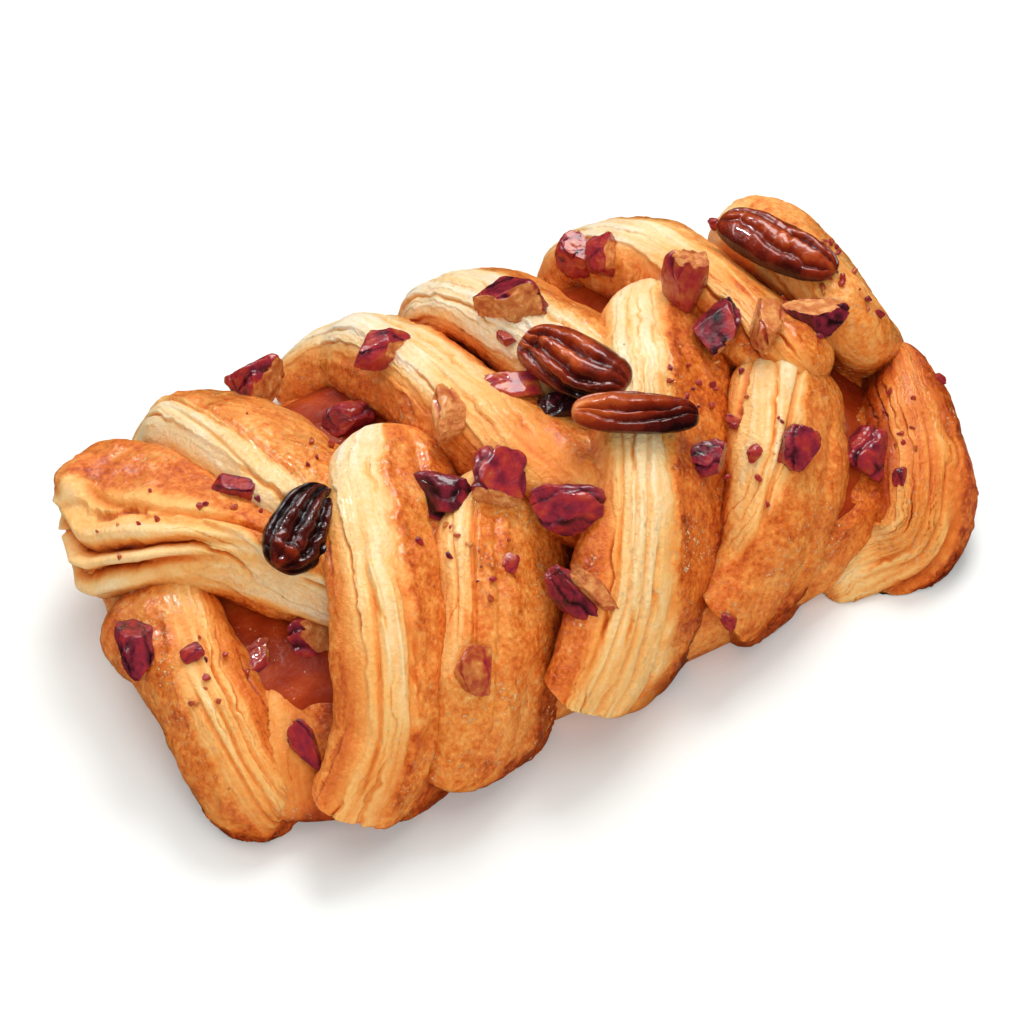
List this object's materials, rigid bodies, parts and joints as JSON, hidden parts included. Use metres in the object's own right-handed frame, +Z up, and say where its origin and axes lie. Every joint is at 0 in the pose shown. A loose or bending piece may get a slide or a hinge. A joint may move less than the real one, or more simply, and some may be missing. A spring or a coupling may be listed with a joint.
{
  "type": "pecan danish pastry",
  "caption": "Baked pecan plait: crossed strips of laminated dough over a dark caramel filling, topped with pecan halves and chopped pecans.",
  "frame": {"origin": "middle of the plait's length and width, on the surface that it rests on", "axes": "+X along the plait, -Y towards its near flank, +Z up"},
  "size_m": [0.158, 0.102, 0.0453],
  "materials": {
    "dough": "baked laminated dough, golden brown with pale cut layers, thin satin glaze",
    "filling": "glossy dark caramel",
    "pecan": "glazed pecan skin, dark red-brown, paler where broken"
  },
  "bodies": {
    "root": {"dough": "dough", "filling": "filling", "pecan_half_1": "pecan", "pecan_half_2": "pecan", "pecan_half_3": "pecan", "pecan_half_4": "pecan", "pecan_piece_01": "pecan", "pecan_piece_02": "pecan", "pecan_piece_03": "pecan", "pecan_piece_04": "pecan", "pecan_piece_05": "pecan", "pecan_piece_06": "pecan", "pecan_piece_07": "pecan", "pecan_piece_08": "pecan", "pecan_piece_09": "pecan", "pecan_piece_10": "pecan", "pecan_piece_11": "pecan", "pecan_piece_12": "pecan", "pecan_piece_13": "pecan", "pecan_piece_14": "pecan", "pecan_piece_15": "pecan", "pecan_piece_16": "pecan", "pecan_piece_17": "pecan", "pecan_piece_18": "pecan", "pecan_piece_19": "pecan", "pecan_piece_20": "pecan", "pecan_piece_21": "pecan", "pecan_piece_22": "pecan", "pecan_piece_23": "pecan", "pecan_piece_24": "pecan", "pecan_piece_25": "pecan", "pecan_piece_26": "pecan", "pecan_piece_27": "pecan"}
  },
  "joints": []
}
